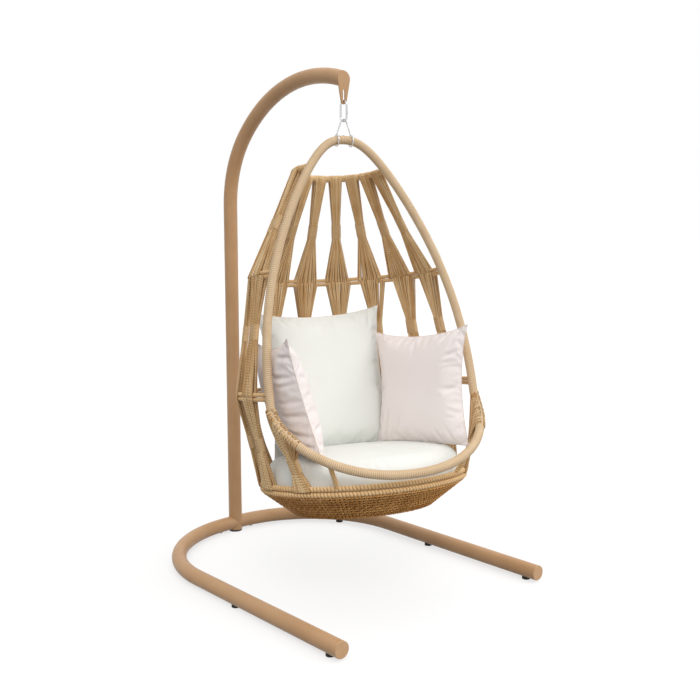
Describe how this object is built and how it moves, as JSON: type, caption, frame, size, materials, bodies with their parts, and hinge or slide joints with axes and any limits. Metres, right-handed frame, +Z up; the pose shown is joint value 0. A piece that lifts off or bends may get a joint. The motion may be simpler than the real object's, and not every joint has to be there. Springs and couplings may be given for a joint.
{
  "type": "hanging egg chair",
  "caption": "Open egg-shaped hanging chair of corded sheaves on wrapped rings, with loose cushions, hung by a snap hook from a bent one-armed tube stand on a U-shaped base.",
  "frame": {"origin": "on the floor, under the middle of the stand's overall footprint", "axes": "+Z up, front of the stand (open ends of the U-shaped base) towards -Y, +X to the sitter's left"},
  "size_m": [1.09, 1.375, 2.01],
  "materials": {
    "tan_paint": "satin",
    "tan_cap": "satin",
    "black_plastic": "matte",
    "black_rubber": "matte",
    "bright_steel": "satin",
    "pale_wrap": "satin",
    "straw_cord": "satin",
    "band_cord": "satin",
    "brown_weave": "matte",
    "ivory_cloth": "matte"
  },
  "bodies": {
    "stand": {"base_tube_left": "tan_paint", "base_tube_right": "tan_paint", "mast": "tan_paint", "base_sleeves": "bright_steel", "base_bolts": "bright_steel", "leg_end_caps": "tan_cap", "rubber_feet": "black_rubber", "mast_foot": "black_plastic", "eye_plate": "tan_paint"},
    "snap_hook": {"carabiner": "bright_steel", "gate_pin": "bright_steel"},
    "snap_gate": {"carabiner_gate": "bright_steel"},
    "bail": {"bail": "bright_steel"},
    "egg": {"hoop_screw": "bright_steel", "front_hoop": "pale_wrap", "top_bar": "pale_wrap", "upper_ring_top_rod": "pale_wrap", "upper_ring_bottom_rod": "pale_wrap", "lower_ring_top_rod": "pale_wrap", "lower_ring_bottom_rod": "pale_wrap", "rim_top_rod": "pale_wrap", "rim_bottom_rod": "pale_wrap", "front_strut_left": "pale_wrap", "front_strut_right": "pale_wrap", "top_sheaves": "straw_cord", "middle_sheaves": "straw_cord", "bottom_sheaves": "straw_cord", "front_sheaf_left": "straw_cord", "front_sheaf_right": "straw_cord", "top_bands": "band_cord", "middle_bands": "band_cord", "bottom_bands": "band_cord", "front_bands": "band_cord", "basket_wall": "brown_weave", "basket_floor": "brown_weave", "seat_cushion": "ivory_cloth", "back_cushion": "ivory_cloth", "left_pillow": "ivory_cloth", "right_pillow": "ivory_cloth"}
  },
  "joints": [
    {"name": "side_swing", "type": "hinge", "parent": "stand", "child": "snap_hook", "pos_m": [0, -0.108, 1.86863], "axis": [0, 1, 0], "range_deg": [-12, 12]},
    {"name": "gate_hinge", "type": "hinge", "parent": "snap_hook", "child": "snap_gate", "pos_m": [0, -0.125, 1.82113], "axis": [-1, 0, 0], "range_deg": [0, 25], "stiffness_Nm_per_rad": 0.2, "springref_deg": -28.65},
    {"name": "turn", "type": "hinge", "parent": "snap_hook", "child": "bail", "pos_m": [0, -0.108, 1.80013], "axis": [0, 0, 1], "range_deg": [-14, 46]},
    {"name": "fore_aft_swing", "type": "hinge", "parent": "bail", "child": "egg", "pos_m": [0, -0.108, 1.71986], "axis": [0.9613, -0.2756, 0], "range_deg": [-12, 12]}
  ]
}
